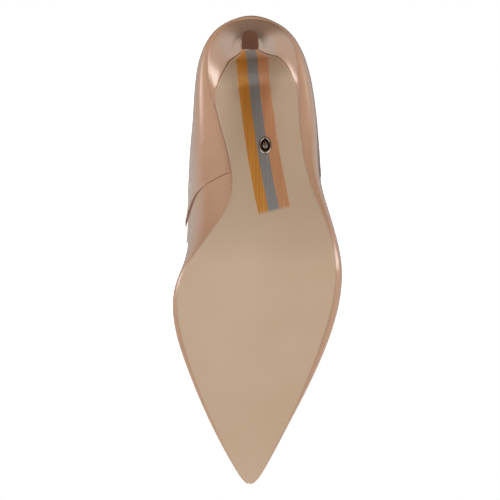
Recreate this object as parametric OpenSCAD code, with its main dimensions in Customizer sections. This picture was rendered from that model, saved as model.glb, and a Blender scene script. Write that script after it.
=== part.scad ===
// High-heeled court shoe with a pointed toe, right foot, EU 37. Millimetres.
// +X is the toe, +Y the inner side of the foot, +Z up. The shoe stands on z = 0.
// The design is drawn with x = 0 at the back of the heel, and to_origin moves
// it so that the origin is under the middle of its bounding box.

/* [Sole] */
// Thickness of the outsole
sole_t = 2.4; // [2:0.1:2.6]
// Thickness of the outsole flap that runs down the heel breast
flap_t = 1.2; // [1:0.1:1.3]
// Radius of the curve from the waist into the heel breast
breast_r = 9; // [8:0.5:10]
// Place of the upright heel breast, from the back of the shoe
breast_x = 27.2; // [26.5:0.1:28]

/* [Upper] */
// Thickness of the patent upper
upper_t = 0.9; // [0.7:0.05:1.1]
// Thickness of the lining
lining_t = 0.7; // [0.5:0.05:0.8]
// Thickness of the heel counter at its middle
counter_t = 1.2; // [0.8:0.1:1.4]
// Thickness of the toe puff at its middle
puff_t = 0.8; // [0.5:0.1:1]
// Width of the lasting margin folded under the insole
margin_w = 11; // [9:0.5:12]

/* [Insole] */
// Thickness of the insole and shank boards
board_t = 2; // [1.6:0.1:2.4]
// Thickness of the sock lining
sock_t = 1; // [0.8:0.1:1.4]
// Thickness of the heel pad at its middle
heel_pad_t = 2.2; // [1:0.1:3]
// Thickness of the forefoot pad at its middle
fore_pad_t = 2; // [1:0.1:2.6]

/* [Heel] */
// Height of the top lift
lift_h = 5.4; // [4:0.1:6]
// Half the width of the heel tip
tip_half_w = 3.9; // [3.7:0.1:4.2]
// Thickness of the patent heel cover
cover_t = 0.8; // [0.6:0.1:0.9]
// Outer diameter of the steel tube in the stem
tube_d = 4; // [3.6:0.1:4.2]
// Diameter of the top lift's steel pin
pin_d = 2.4; // [2:0.1:2.6]

/* [Badge] */
// Length of the oval badge
badge_l = 8.6; // [6:0.2:10]
// Width of the oval badge
badge_w = 6; // [5:0.2:8]

/* [Hidden] */
$fn = 48;
GAP = 0.05;       // clearance between bonded layers
BED_GAP = 0.25;   // clearance over the outsole, whose facets cross the last's
SEAT_GAP = 0.2;   // clearance between the heel and the lasted seat
INSET = 4.9;      // from the feather edge in to the insole board's edge

// ---- Uniform cubic B-splines -------------------------------------------------
function cubic(f) = [pow(1 - f, 3), 3*pow(f, 3) - 6*f*f + 4, -3*pow(f, 3) + 3*f*f + 3*f + 1, pow(f, 3)] / 6;
// Adds a point at each end, so that the spline starts and stops on its end points.
function with_ends(c) = let (n = len(c)) concat([2*c[0] - c[1]], c, [2*c[n - 1] - c[n - 2]]);
function open_at(e, t) =
    let (i = max(0, min(floor(t), len(e) - 4)), b = cubic(t - i))
    b[0]*e[i] + b[1]*e[i + 1] + b[2]*e[i + 2] + b[3]*e[i + 3];
function loop_at(c, t) =
    let (n = len(c), i = floor(t), b = cubic(t - i))
    b[0]*c[(i + n - 1) % n] + b[1]*c[i % n] + b[2]*c[(i + 1) % n] + b[3]*c[(i + 2) % n];

function unit(v) = v / max(norm(v), 1e-9);
function mix(a, b, f) = a*(1 - f) + b*f;
function clamp(x, low, high) = max(low, min(high, x));
// Smooth bump: 0 at a and b, 1 in the middle.
function bump(x, a, b) = x <= a || x >= b ? 0 : pow(sin(180*(x - a)/(b - a)), 0.6);

// ---- Side profile of the sole ------------------------------------------------
// Height of the outsole's lower face every PROFILE_STEP from PROFILE_X0.
PROFILE_X0 = -15;
PROFILE_STEP = 15;
profile = with_ends([95.5, 88, 81, 73.5, 65, 54, 40, 24.5, 9.5, 0, 0, 0, 0, 0.3, 1.2, 2.8, 5, 8]);
function sole_z(x) = open_at(profile, (x - PROFILE_X0)/PROFILE_STEP);
function slope(x) = sole_z(x + 0.5) - sole_z(x - 0.5);
// The point h above the outsole's lower face at x, y, measured square to it.
function above_sole(x, y, h) =
    let (g = slope(x), k = sqrt(1 + g*g))
    [x - h*g/k, y, sole_z(x) + h/k];

// ---- Last: stations round the shoe, back - inner side - toe - outer side -------
// feather x, y | widest point x, y, z | topline x, y, z | crown between the two
STATIONS = [
    [2.5, 0,       -0.8, -0.5, 108,    2, 0, 141.5,        1.5],
    [5, 12.5,      4.3, 12.2, 107,     5.5, 11.5, 140,     1.5],
    [13, 20.5,     11, 21.1, 104,      15, 18.5, 134,      2],
    [29, 22.3,     26, 28.3, 95,       31, 23.5, 121,      2],
    [53, 16,       55, 29, 78,         59, 27.5, 95,       2],
    [80, 8.5,      84, 29.3, 58,       88, 29.5, 68.5,     2],
    [98, 9.5,      106, 28.2, 39,      112, 28, 51.5,      3],
    [112, 19,      122, 30, 20,        127, 26, 44.5,      6],
    [129, 33.3,    137, 36.7, 12,      138, 22, 41.5,      8],
    [152, 35,      154, 36.8, 11,      147, 16, 39.8,      8.5],
    [176, 27.6,    177, 28.8, 11,      152.5, 9.5, 38.6,   8],
    [200, 17.7,    201, 18.4, 10,      155, 4.5, 38.1,     6.5],
    [221, 6.5,     221, 7.3, 10,       156, 1.2, 37.8,     5],
    [231.4, 0.1,   231.9, 0.1, 10,     156.3, -1.6, 37.7,  4.5],
    [221, -6.2,    221, -7.4, 10,      156, -4.4, 37.8,    5],
    [200, -16.8,   201, -17.7, 10,     155, -8, 38,        6.5],
    [176, -28.9,   177, -30.7, 11,     152.5, -13, 38.4,   8],
    [150, -38.3,   151, -41.3, 12,     147, -19.5, 39.3,   8.5],
    [127, -41.1,   129, -44.7, 13,     138, -26, 40.8,     8],
    [104, -35.6,   106.2, -39.3, 22,   124, -31, 44.5,     5],
    [80, -25.8,    83, -32.3, 50,      102, -34, 55.5,     2.5],
    [54, -23.5,    56, -34.1, 75,      69, -31.5, 82,      2],
    [29, -23.8,    27, -30.7, 96,      33, -25, 118,       2],
    [13, -21,      11, -22.8, 104,     15, -19, 134,       2],
    [5, -12.5,     4.3, -13.5, 107,    5.5, -11.5, 140,    1.5]
];
LOOPS = len(STATIONS);
TOE_STATION = 13;
LOW_RISE = 2.6;   // height of the tight turn above the feather edge

feather_plan = [for (s = STATIONS) [s[0], s[1]]];
feather = [for (p = feather_plan) above_sole(p.x, p.y, sole_t)];
function after(i) = feather[(i + 1) % LOOPS];
function before(i) = feather[(i + LOOPS - 1) % LOOPS];
function outward(i) = let (d = after(i) - before(i)) unit([-d.y, d.x, 0]);
// The margin narrows where the shoe is slim, so that its two sides don't meet.
function margin(i) = STATIONS[i][0] < 60 ? margin_w : min(margin_w, 3 + 0.55*abs(STATIONS[i][1]));
margin_plan = [for (i = [0 : LOOPS - 1]) feather_plan[i] - [outward(i).x, outward(i).y]*margin(i)];
function low_turn(i) =
    let (f = feather[i], s = STATIONS[i])
    [mix(f.x, s[2], 0.8), mix(f.y, s[3], 0.8), f.z + min(LOW_RISE, 0.35*(s[4] - f.z))];
function crown_point(i) =
    let (
        s = STATIONS[i],
        widest = [s[2], s[3], s[4]],
        rise = [s[5], s[6], s[7]] - widest,
        n = unit(cross(after(i) - before(i), rise)),
        facing = n*(outward(i) + [0, 0, 0.6]) < 0 ? -1 : 1
    )
    widest + rise/2 + n*facing*s[8];
// Control net: each station's column from the feather edge up to the topline.
net = [for (i = [0 : LOOPS - 1]) let (s = STATIONS[i])
    [feather[i], low_turn(i), [s[2], s[3], s[4]], crown_point(i), [s[5], s[6], s[7]]]];
// A column between stations. Its margin and its feather edge lie true on the sole's curve.
function column(u) =
    let (
        c = loop_at(net, u),
        m = loop_at(margin_plan, u),
        f = loop_at(feather_plan, u),
        edge = above_sole(f.x, f.y, sole_t + BED_GAP)
    )
    with_ends([above_sole(m.x, m.y, sole_t + BED_GAP), edge, c[1] + edge - c[0], c[2], c[3], c[4]]);

// ---- Surface grid of the last --------------------------------------------------
ROUND = 75;       // divisions round the shoe, three for each station
V_ROWS = [0, 0.5, 0.85, 1.15, 1.5, 2, 2.6, 3.2, 3.8, 4.35, 4.72, 4.9, 5];
V_LAST = len(V_ROWS) - 1;
function column_points(u, rows) = let (e = column(u)) [for (v = rows) open_at(e, v)];
function last_point(u, v) = open_at(column(u), v);
function last_normal(u, v) =
    let (
        e = 0.01,
        du = last_point(u + e, v) - last_point(u + LOOPS - e, v),
        dv = last_point(u, min(v + e, 5)) - last_point(u, max(v - e, 0))
    )
    unit(cross(dv, du));
grid = [for (i = [0 : ROUND - 1]) column_points(i*LOOPS/ROUND, V_ROWS)];
function grid_normal(g, i, j, closed) =
    let (
        n = len(g),
        m = len(g[0]) - 1,
        next = closed ? (i + 1) % n : min(i + 1, n - 1),
        prev = closed ? (i + n - 1) % n : max(i - 1, 0),
        dv = g[i][min(j + 1, m)] - g[i][max(j - 1, 0)],
        du = g[next][j] - g[prev][j]
    )
    unit(cross(dv, du));
normals = [for (i = [0 : ROUND - 1]) [for (j = [0 : V_LAST]) grid_normal(grid, i, j, true)]];

// ---- Layers between the upper and the foot ---------------------------------------
// Grid ranges: the counter lies round the heel, the puff over the toe.
COUNTER = [59, 91];       // columns, counted on past ROUND
PUFF = [29, 49];
COUNTER_ROWS = [2, 9];
PUFF_ROWS = [2, 8];
TAPE_ROWS = [10, 11];
THIN_EDGE = 0.25;         // skived edge of the counter and the puff
tape_t = 0.25;
function span_place(i, span) = i < span[0] ? i + ROUND : i;
function in_span(i, span) = span_place(i, span) <= span[1];
function stiffener(i, j, span, rows, t) =
    !in_span(i, span) || j < rows[0] || j > rows[1] ? 0 :
    THIN_EDGE + (t - THIN_EDGE)*bump(span_place(i, span), span[0], span[1])*bump(j, rows[0] - 1, rows[1]);
function counter_at(i, j) = stiffener(i, j, COUNTER, COUNTER_ROWS, counter_t);
function puff_at(i, j) = stiffener(i, j, PUFF, PUFF_ROWS, puff_t);
function tape_at(j) = j >= TAPE_ROWS[0] && j <= TAPE_ROWS[1] ? tape_t : 0;
// Depth from the upper's outer face to the lining's outer face.
function lining_depth(i, j) =
    let (between = max(counter_at(i, j), puff_at(i, j), tape_at(j)))
    upper_t + GAP + (between > 0 ? between + GAP : 0);
// At the pointed toe the layers step back further, as the two sides close in.
TIP = [36, 42];
function inside(i, j, depth) = grid[i][j] - normals[i][j]*depth*(1 + 0.6*bump(i, TIP[0], TIP[1]));

// ---- Polyhedra from grids of points ------------------------------------------------
function quad(a, b, c, d) = [[a, b, c], [a, c, d]];
function flat(lists) = [for (l = lists) each l];
// A shell between grid a, whose faces look outward, and grid b.
module shell(a, b, closed = false) {
    n = len(a);
    m = len(a[0]);
    last = closed ? n : n - 1;
    function pa(i, j) = (i % n)*m + j;
    function pb(i, j) = n*m + (i % n)*m + j;
    faces = concat(
        [for (i = [0 : last - 1], j = [0 : m - 2]) each
            quad(pa(i, j), pa(i + 1, j), pa(i + 1, j + 1), pa(i, j + 1))],
        [for (i = [0 : last - 1], j = [0 : m - 2]) each
            quad(pb(i, j), pb(i, j + 1), pb(i + 1, j + 1), pb(i + 1, j))],
        [for (i = [0 : last - 1]) each quad(pa(i + 1, 0), pa(i, 0), pb(i, 0), pb(i + 1, 0))],
        [for (i = [0 : last - 1]) each
            quad(pa(i, m - 1), pa(i + 1, m - 1), pb(i + 1, m - 1), pb(i, m - 1))],
        closed ? [] : [for (j = [0 : m - 2]) each quad(pa(0, j), pa(0, j + 1), pb(0, j + 1), pb(0, j))],
        closed ? [] : [for (j = [0 : m - 2]) each
            quad(pa(last, j + 1), pa(last, j), pb(last, j), pb(last, j + 1))]
    );
    polyhedron(points = concat(flat(a), flat(b)), faces = faces, convexity = 8);
}
// A solid through rings of points that all run the same way, capped at both ends.
module lofted(rings) {
    n = len(rings);
    m = len(rings[0]);
    half = floor(m/2);
    function p(i, j) = i*m + (j % m);
    faces = concat(
        [for (i = [0 : n - 2], j = [0 : m - 1]) each quad(p(i, j), p(i + 1, j), p(i + 1, j + 1), p(i, j + 1))],
        [for (j = [0 : half - 1]) each quad(p(0, j), p(0, j + 1), p(0, m - 2 - j), p(0, m - 1 - j))],
        [for (j = [0 : half - 1]) each
            quad(p(n - 1, j + 1), p(n - 1, j), p(n - 1, m - 1 - j), p(n - 1, m - 2 - j))]
    );
    polyhedron(points = flat(rings), faces = [for (f = faces) if (f[0] != f[1] && f[1] != f[2] && f[0] != f[2]) f],
        convexity = 8);
}
// A round bar from p to q.
module rod(p, q, r) {
    d = q - p;
    translate(p) rotate([0, acos(d.z/norm(d)), atan2(d.y, d.x)]) cylinder(h = norm(d), r = r, $fn = 16);
}

// ---- Outer extents, for the origin ---------------------------------------------------
skin = flat(grid);
x_low = min([for (p = skin) p.x]);
x_high = max([for (p = skin) p.x]);
y_low = min([for (p = skin) p.y]);
y_high = max([for (p = skin) p.y]);
module to_origin() translate([-(x_low + x_high)/2, -(y_low + y_high)/2, 0]) children();

// ---- Upper -----------------------------------------------------------------------------
function layer(first, last, rows, depth) = [for (i = [first : last]) [for (j = [rows[0] : rows[1]])
    let (k = i % ROUND) inside(k, j, depth(k, j))]];
ALL_ROWS = [0, V_LAST];

module upper() color("#bfa294") to_origin()
    shell(grid, layer(0, ROUND - 1, ALL_ROWS, function (i, j) upper_t), closed = true);

// The linings meet at two butt joints behind the ball of the foot.
VAMP = [21, 57];
function lining_inner(i, j) = lining_depth(i, j) + lining_t;
module lining(first, last)
    shell(layer(first, last, ALL_ROWS, function (i, j) lining_depth(i, j)),
        layer(first, last, ALL_ROWS, function (i, j) lining_inner(i, j)));
module vamp_lining() color("#e2d2bf") to_origin() lining(VAMP[0], VAMP[1] - 1);
module quarter_lining() color("#dac9b4") to_origin() lining(VAMP[1], ROUND + VAMP[0] - 1);

module heel_counter() color("#8d7a66") to_origin()
    shell(layer(COUNTER[0], COUNTER[1], COUNTER_ROWS, function (i, j) upper_t + GAP),
        layer(COUNTER[0], COUNTER[1], COUNTER_ROWS, function (i, j) upper_t + GAP + counter_at(i, j)));
module toe_puff() color("#a99a86") to_origin()
    shell(layer(PUFF[0], PUFF[1], PUFF_ROWS, function (i, j) upper_t + GAP),
        layer(PUFF[0], PUFF[1], PUFF_ROWS, function (i, j) upper_t + GAP + puff_at(i, j)));
module topline_tape() color("#ece6da") to_origin()
    shell(layer(0, ROUND - 1, TAPE_ROWS, function (i, j) upper_t + GAP),
        layer(0, ROUND - 1, TAPE_ROWS, function (i, j) upper_t + GAP + tape_at(j)), closed = true);

// ---- Stitching ----------------------------------------------------------------------------
THREAD_R = 0.2;
STITCH_GAP = 0.3;         // share of the pitch between two stitches
function on_skin(u, v) = last_point(u, v) + last_normal(u, v)*(THREAD_R + 0.08);
TOPLINE_STITCHES = 120;
TOPLINE_ROW = 4.8;
module topline_stitching() color("#c9ab9c") to_origin()
    for (k = [0 : TOPLINE_STITCHES - 1]) let (pitch = LOOPS/TOPLINE_STITCHES)
        rod(on_skin(k*pitch, TOPLINE_ROW), on_skin((k + 1 - STITCH_GAP)*pitch, TOPLINE_ROW), THREAD_R);

// The closing seam climbs the inner side and sweeps forward: its place round the
// last at each whole row of the net, from the feather edge to the topline.
SEAM = with_ends([5.12, 5.32, 5.78, 6.02, 6.18]);
function seam_u(v) = open_at(SEAM, v - 1);
SEAM_STITCHES = 22;
SEAM_V = [1.2, 4.7];
SEAM_BACK = 0.09;         // from the lap's edge back to the stitches
function seam_v(f) = mix(SEAM_V[0], SEAM_V[1], f);
module seam_stitching() color("#b3968a") to_origin()
    for (k = [0 : SEAM_STITCHES - 1]) let (
        a = seam_v(k/SEAM_STITCHES),
        b = seam_v((k + 1 - STITCH_GAP)/SEAM_STITCHES)
    ) rod(on_skin(seam_u(a) - SEAM_BACK, a), on_skin(seam_u(b) - SEAM_BACK, b), THREAD_R);

// ---- Layers under the foot --------------------------------------------------------------------
// Insole pattern: s runs from the back (0) to the toe (1), w from inner to outer edge.
function edge_in(u, d) =
    let (
        p = loop_at(feather_plan, u),
        t = loop_at(feather_plan, u + 0.02) - loop_at(feather_plan, u + LOOPS - 0.02)
    )
    p - unit([-t.y, t.x])*d;
function across(s, w, d) =
    let (a = edge_in(TOE_STATION*s, d), b = edge_in(LOOPS - (LOOPS - TOE_STATION)*s, d)) mix(a, b, w);
ACROSS = 8;
function sheet_grid(first, last, n, d, h) = [for (i = [0 : n]) [for (j = [0 : ACROSS])
    let (s = mix(first, last, i/n), w = j/ACROSS, p = across(s, w, d)) above_sole(p.x, p.y, h(s, w))]];
module sheet(first, last, n, d, top, bottom)
    shell(sheet_grid(first, last, n, d, top), sheet_grid(first, last, n, d, bottom));

layer_a = sole_t + BED_GAP;                              // over the outsole
layer_b = layer_a + upper_t + lining_t + BED_GAP;        // insole boards
layer_c = layer_b + board_t + 2*GAP;                      // pads and sock
BACK_S = 0.035;
BOARD_JOINT = 0.56;
TOE_S = 0.9;
HEEL_PAD = [0.08, 0.27];
FORE_PAD = [0.6, 0.86];
PAD_INSET = 2.5;
function pad_rise(s, w) =
    heel_pad_t*bump(s, HEEL_PAD[0], HEEL_PAD[1])*bump(w, 0, 1)
    + fore_pad_t*bump(s, FORE_PAD[0], FORE_PAD[1])*bump(w, 0, 1);

nail_places = [[18.5, 6], [18.5, -6], [29.4, 7], [29.4, -7]];
NAIL_D = 1.6;
NAIL_L = 11;
screw_x = 30;
SCREW_D = 3.5;
SCREW_L = 13;
RIVET_D = 3;
RIVET_HEAD_D = 5.5;
RIVET_HEAD_H = 0.6;
rivet_places = [[56, -2.4], [94, -9.6]];
FIT = 0.1;                // clearance round screws, nails, rivets and the tube
// Stands children on the sole's slope at x, y, h above the outsole's lower face.
module on_slope(x, y, h) translate(above_sole(x, y, h)) rotate([0, -atan(slope(x)), 0]) children();
module head_hole(d, head_d) {
    translate([0, 0, -30]) cylinder(h = 40, d = d + 2*FIT);
    translate([0, 0, -RIVET_HEAD_H - FIT]) cylinder(h = 10, d = head_d + 2*FIT);
}

module insole_board() color("#9a7f5f") to_origin()
    sheet(BOARD_JOINT + 0.004, TOE_S, 16, INSET,
        function (s, w) layer_b + board_t, function (s, w) layer_b);

module shank_board() color("#7c6a55") to_origin() difference() {
    sheet(BACK_S, BOARD_JOINT, 20, INSET,
        function (s, w) layer_b + board_t, function (s, w) layer_b);
    for (p = rivet_places) on_slope(p.x, p.y, layer_b + board_t) head_hole(RIVET_D, RIVET_HEAD_D);
    on_slope(screw_x, 0, layer_b + board_t) head_hole(SCREW_D, RIVET_HEAD_D);
    for (p = nail_places) on_slope(p.x, p.y, layer_b + board_t) head_hole(NAIL_D, 2*NAIL_D);
}

SHANK_X = [21, 112];
SHANK_HALF_W = 4.4;
SHANK_T = 1.3;
function shank_y(x) = -11.5*pow(clamp((x - 30)/75, 0, 1), 1.3);
function shank_end(x) = sqrt(max(0.06, 1 - pow(max(0, 1 - min(x - SHANK_X[0], SHANK_X[1] - x)/4), 2)));
function shank_grid(h) = [for (x = [SHANK_X[0] : 3.5 : SHANK_X[1]]) [for (w = [1 : -0.5 : -1])
    above_sole(x, shank_y(x) + SHANK_HALF_W*w*shank_end(x), h + 0.25*(1 - w*w))]];
module steel_shank() color("#8c9196") to_origin() difference() {
    shell(shank_grid(layer_a + SHANK_T), shank_grid(layer_a));
    for (p = rivet_places) on_slope(p.x, p.y, layer_a) translate([0, 0, -5]) cylinder(h = 10, d = RIVET_D + 2*FIT);
    on_slope(screw_x, 0, layer_a) translate([0, 0, -5]) cylinder(h = 10, d = SCREW_D + 2*FIT);
}

module shank_rivets() color("#b8bcc0") to_origin()
    for (p = rivet_places) on_slope(p.x, p.y, layer_b + board_t) {
        translate([0, 0, layer_a - layer_b - board_t]) cylinder(h = layer_b + board_t - layer_a, d = RIVET_D);
        translate([0, 0, -RIVET_HEAD_H]) cylinder(h = RIVET_HEAD_H, d = RIVET_HEAD_D);
    }

FILLER_T = upper_t + lining_t;
FILLER_GAP = 2.5;
function filler_grid(h) = [for (i = [0 : 12]) let (s = mix(0.6, 0.86, i/12)) [for (j = [0 : ACROSS])
    let (p = across(s, j/ACROSS, margin_w + FILLER_GAP)) above_sole(p.x, p.y, h)]];
module bottom_filler() color("#a8845c") to_origin()
    shell(filler_grid(layer_a + FILLER_T), filler_grid(layer_a));

PAD_EDGE = 0.15;          // thickness of a pad at its edge
PAD_FILL = 0.8;           // share of the sock's rise that the pad under it takes up
module pad(span) sheet(span[0], span[1], 10, INSET + PAD_INSET,
    function (s, w) layer_c + PAD_EDGE + PAD_FILL*pad_rise(s, w), function (s, w) layer_c);
module heel_pad() color("#e8dccb") to_origin() pad(HEEL_PAD);
module forefoot_pad() color("#e8dccb") to_origin() pad(FORE_PAD);
function sock_base(s, w) = layer_c + GAP + (pad_rise(s, w) > 0 ? PAD_EDGE + GAP : 0) + pad_rise(s, w);
module sock_lining() color("#dccab2") to_origin()
    sheet(BACK_S + 0.005, TOE_S - 0.01, 40, INSET + 0.6,
        function (s, w) sock_base(s, w) + sock_t, function (s, w) sock_base(s, w));

// ---- Outsole -------------------------------------------------------------------------------------
// Where the waist's slope meets the breast curve, found by walking back along the profile.
function meet_x(a, n) = n == 0 ? breast_x + breast_r*(1 + sin(a))
    : meet_x(atan(-slope(breast_x + breast_r*(1 + sin(a)))), n - 1);
turn_x = meet_x(30, 20);
turn_a = atan(-slope(turn_x));
turn_z = sole_z(turn_x) - breast_r*cos(turn_a);
// Length l along the sole: l = x forward of turn_x, then back round the curve and down.
drop_l = turn_x - breast_r*(turn_a + 90)*PI/180;
end_l = drop_l - (turn_z - lift_h - 0.1);
function sole_line(l, h) =
    l >= turn_x ? let (k = sqrt(1 + pow(slope(l), 2))) [l - h*slope(l)/k, sole_z(l) + h/k] :
    l > drop_l ? let (a = turn_a - (turn_x - l)/breast_r*180/PI)
        [breast_x + breast_r + (breast_r + h)*sin(a), turn_z + (breast_r + h)*cos(a)] :
    [breast_x - h, turn_z - (drop_l - l)];
// Outsole pattern, laid flat: length, y at the inner edge, y at the outer edge.
PATTERN = with_ends([
    [227.6, 0, 0], [226, 3.2, -3.2], [220, 7.2, -6.9], [205, 14.6, -14.6], [190, 21.2, -22],
    [175, 27, -28.2], [160, 31.8, -33.8], [146, 34.4, -38], [132, 32.8, -40.2], [119, 24.4, -38.8],
    [106, 14.6, -35.8], [94, 7.8, -30.2], [80, 8.6, -26.2], [65, 12.4, -24.5], [50, 16.6, -23.4],
    [40, 18, -23.4], [31, 12.6, -18.6], [21, 8, -10], [-2, 5.6, -5.8], [-16, tip_half_w, -tip_half_w],
    [end_l, tip_half_w, -tip_half_w]
]);
PATTERN_END = len(PATTERN) - 3;
// The flap leans a little, because the heel stands square to the foot's line.
function lean(l) = 0.08*clamp((75 - l)/30, 0, 1);
function sole_thickness(l) = mix(flap_t, sole_t, clamp((l - 47.5)/5.5, 0, 1));
SOLE_ACROSS = 10;
function sole_grid(top) = [for (k = [0, 0.25, 0.6, each [1 : 0.5 : PATTERN_END - 0.5], PATTERN_END])
    let (e = open_at(PATTERN, k == 0 ? 0.02 : k)) [for (j = [0 : SOLE_ACROSS])
        let (
            y = mix(e[1], e[2], j/SOLE_ACROSS),
            c = sole_line(e[0], top ? sole_thickness(e[0]) : 0)
        )
        [c[0] + lean(e[0])*y, y, c[1]]]];
module outsole() color("#c0a485") to_origin() shell(sole_grid(false), sole_grid(true));

// ---- Badge ------------------------------------------------------------------------------------------
badge_at = [69.5, -7.3];
BADGE_T = 0.7;
BADGE_RIM = 0.6;
BADGE_GAP = 0.2;          // bed of glue, deep enough for the sole's curve
module oval(l, w, h) {
    for (side = [-1, 1]) translate([side*(l - w)/2, 0, 0]) cylinder(h = h, d = w);
    translate([-(l - w)/2, -w/2, 0]) cube([l - w, w, h]);
}
module badge() color("#3b322d") to_origin()
    on_slope(badge_at.x, badge_at.y, -BADGE_GAP) mirror([0, 0, 1]) difference() {
        oval(badge_l, badge_w, BADGE_T);
        translate([0, 0, BADGE_T/2]) oval(badge_l - 2*BADGE_RIM, badge_w - 2*BADGE_RIM, BADGE_T);
    }

// ---- Heel ---------------------------------------------------------------------------------------------
tip_z = lift_h + 0.1;
tip_back_x = 18.7;
seat_l = 47.7;            // length along the sole where the seat's front edge crosses it
FLAP_GAP = 0.35;          // clearance between the heel and the flap on its breast
SEAT_BLEND = 5;           // how late the section opens out to the seat
SEAT_LEAN = 0.6;          // share of the flap's lean that is left at the seat
BACK_CURVE = 2.3;         // how late the back of the heel flares
seat_u = [3.7, 3.4];      // the seat's front ends round the last: inner side, outer side
function pattern_at(l, k = PATTERN_END) =
    k <= 0 ? open_at(PATTERN, 0) :
    let (a = open_at(PATTERN, k - 0.5), b = open_at(PATTERN, k))
    a[0] >= l ? mix(b, a, (l - b[0])/(a[0] - b[0])) : pattern_at(l, k - 0.5);
function seat_edge(t) =
    let (p = loop_at(feather_plan, t < 0 ? -t*seat_u[0] : LOOPS - t*seat_u[1]))
    above_sole(p.x, p.y, sole_t - SEAT_GAP);
// t runs from the inner front edge (-1) round the back (0) to the outer front edge (1).
function heel_point(w, t) =
    let (
        l = mix(end_l, seat_l, w),
        front = sole_line(l, flap_t + FLAP_GAP),
        e = pattern_at(l),
        back = [mix(tip_back_x, 2.5, pow(w, BACK_CURVE)), mix(tip_z, sole_z(2.5) + sole_t, w)],
        a = abs(t)*90,
        reach = 1 - pow(cos(a), 1.15),
        spread = pow(sin(a), 0.85) + 0.16*sin(2*a),
        y = (t < 0 ? e[1] : e[2])*spread,
        leaning = lean(l)*y,
        p = [mix(back[0], front[0], reach) + leaning, y, mix(back[1], front[1], reach)],
        q = seat_edge(t),
        at_front = pow(abs(t), 12)
    )
    mix(p, mix(q, [front[0] + SEAT_LEAN*leaning, y, front[1]], at_front), pow(w, SEAT_BLEND));
// Height of the lasted seat's lower face at x, less the clearance.
function seat_height(x) =
    let (h = sole_t - SEAT_GAP, p = above_sole(x, 0, h))
    sole_z(x) + (p.z - sole_z(p.x));
HEEL_UP = [0, 0.1, 0.22, 0.34, 0.44, 0.52, 0.6, 0.66, 0.71, 0.76, 0.8, 0.84, 0.88, 0.92, 0.96, 1];
HEEL_ROUND = 26;
heel_grid = [for (w = HEEL_UP) [for (k = [0 : HEEL_ROUND]) heel_point(w, 2*k/HEEL_ROUND - 1)]];
// Moves the heel's skin in by d and keeps it between the top lift and the lasted seat.
function heel_inside(d) = [for (i = [0 : len(HEEL_UP) - 1]) [for (j = [0 : HEEL_ROUND])
    let (
        g = heel_grid[i][j],
        p = g - grid_normal(heel_grid, i, j, false)*d,
        front = j == 0 || j == HEEL_ROUND
    )
    [front ? g.x : p.x, p.y, i == 0 ? tip_z : front ? g.z : min(p.z, seat_height(p.x))]]];

module heel_cover() color("#b99b8c") to_origin() shell(heel_inside(0), heel_inside(cover_t));

tube_at = [22.8, 0];
TUBE_TOP = 62;
TUBE_WALL = 0.7;
PIN_TOP = 18;
PIN_FOOT = 1.6;
module screw_shaft(d, l) translate([0, 0, -l]) cylinder(h = l, d = d);
module heel_core() color("#e6e1d6") to_origin() difference() {
    lofted(heel_inside(cover_t + GAP));
    translate([tube_at.x, tube_at.y, 0]) cylinder(h = TUBE_TOP + FIT, d = tube_d + 2*FIT);
    on_slope(screw_x, 0, layer_b + board_t) screw_shaft(SCREW_D + 2*FIT, SCREW_L + 1);
    for (p = nail_places) on_slope(p.x, p.y, layer_b + board_t) screw_shaft(NAIL_D + 2*FIT, NAIL_L + 1);
}

module heel_tube() color("#9aa0a6") to_origin() translate([tube_at.x, tube_at.y, tip_z]) difference() {
    cylinder(h = TUBE_TOP - tip_z, d = tube_d);
    translate([0, 0, -1]) cylinder(h = TUBE_TOP, d = tube_d - 2*TUBE_WALL);
}

module lift_plan() {
    centre_x = tip_back_x + tip_half_w;
    translate([centre_x, 0]) circle(r = tip_half_w);
    translate([centre_x, -tip_half_w]) square([breast_x - centre_x, 2*tip_half_w]);
}
module top_lift() color("#62422d") to_origin() difference() {
    linear_extrude(lift_h) lift_plan();
    translate([tube_at.x, tube_at.y, PIN_FOOT]) cylinder(h = lift_h, d = pin_d + FIT);
}
module top_lift_pin() color("#a7abb0") to_origin()
    translate([tube_at.x, tube_at.y, PIN_FOOT]) cylinder(h = PIN_TOP - PIN_FOOT, d = pin_d);

module heel_screw() color("#c2b280") to_origin() on_slope(screw_x, 0, layer_b + board_t) {
    screw_shaft(SCREW_D, SCREW_L);
    translate([0, 0, -RIVET_HEAD_H]) cylinder(h = RIVET_HEAD_H, d = RIVET_HEAD_D);
}
module heel_nails() color("#a0a4a8") to_origin()
    for (p = nail_places) on_slope(p.x, p.y, layer_b + board_t) {
        screw_shaft(NAIL_D, NAIL_L);
        translate([0, 0, -RIVET_HEAD_H]) cylinder(h = RIVET_HEAD_H, d = 2*NAIL_D);
    }

upper();
vamp_lining();
quarter_lining();
heel_counter();
toe_puff();
topline_tape();
topline_stitching();
seam_stitching();
insole_board();
shank_board();
steel_shank();
shank_rivets();
bottom_filler();
outsole();
badge();
heel_core();
heel_cover();
heel_tube();
top_lift();
top_lift_pin();
heel_screw();
heel_nails();
heel_pad();
forefoot_pad();
sock_lining();
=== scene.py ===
"""A pointed patent court shoe with a slim covered heel, seen from below."""
import math

import bmesh
import bpy
import numpy as np
from mathutils import Matrix, Vector

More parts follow.
